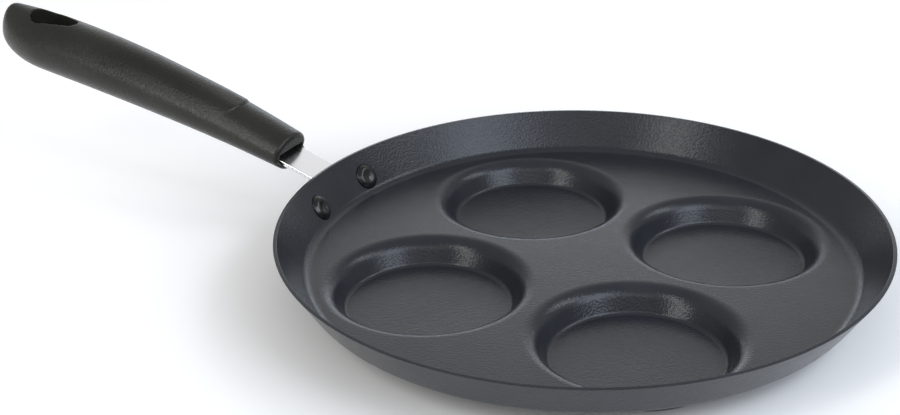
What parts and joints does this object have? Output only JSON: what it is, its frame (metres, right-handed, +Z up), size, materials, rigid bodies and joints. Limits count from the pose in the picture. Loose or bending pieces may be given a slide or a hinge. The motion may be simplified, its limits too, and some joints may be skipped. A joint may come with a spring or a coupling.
{
  "type": "pancake pan",
  "caption": "Round non-stick pancake pan with shallow round cups in its floor, a riveted steel handle bracket and a moulded grip with a hanging slot.",
  "frame": {"origin": "middle of the pan's flat floor between the cups, on its top face", "axes": "+Z up out of the pan; the handle points along -X; the pan is symmetric about the XZ plane"},
  "size_m": [0.4528, 0.26, 0.0824],
  "materials": {
    "nonstick_coat": "matte",
    "bracket_steel": "satin",
    "rivet_black": "satin",
    "grip_plastic": "satin",
    "plated_steel": "satin"
  },
  "bodies": {
    "root": {"pan_body": "nonstick_coat", "handle_bracket": "bracket_steel", "rivet_right": "rivet_black", "rivet_left": "rivet_black", "handle_grip": "grip_plastic", "handle_screw": "plated_steel", "lock_washer": "plated_steel", "tang_nut": "plated_steel"}
  },
  "joints": []
}
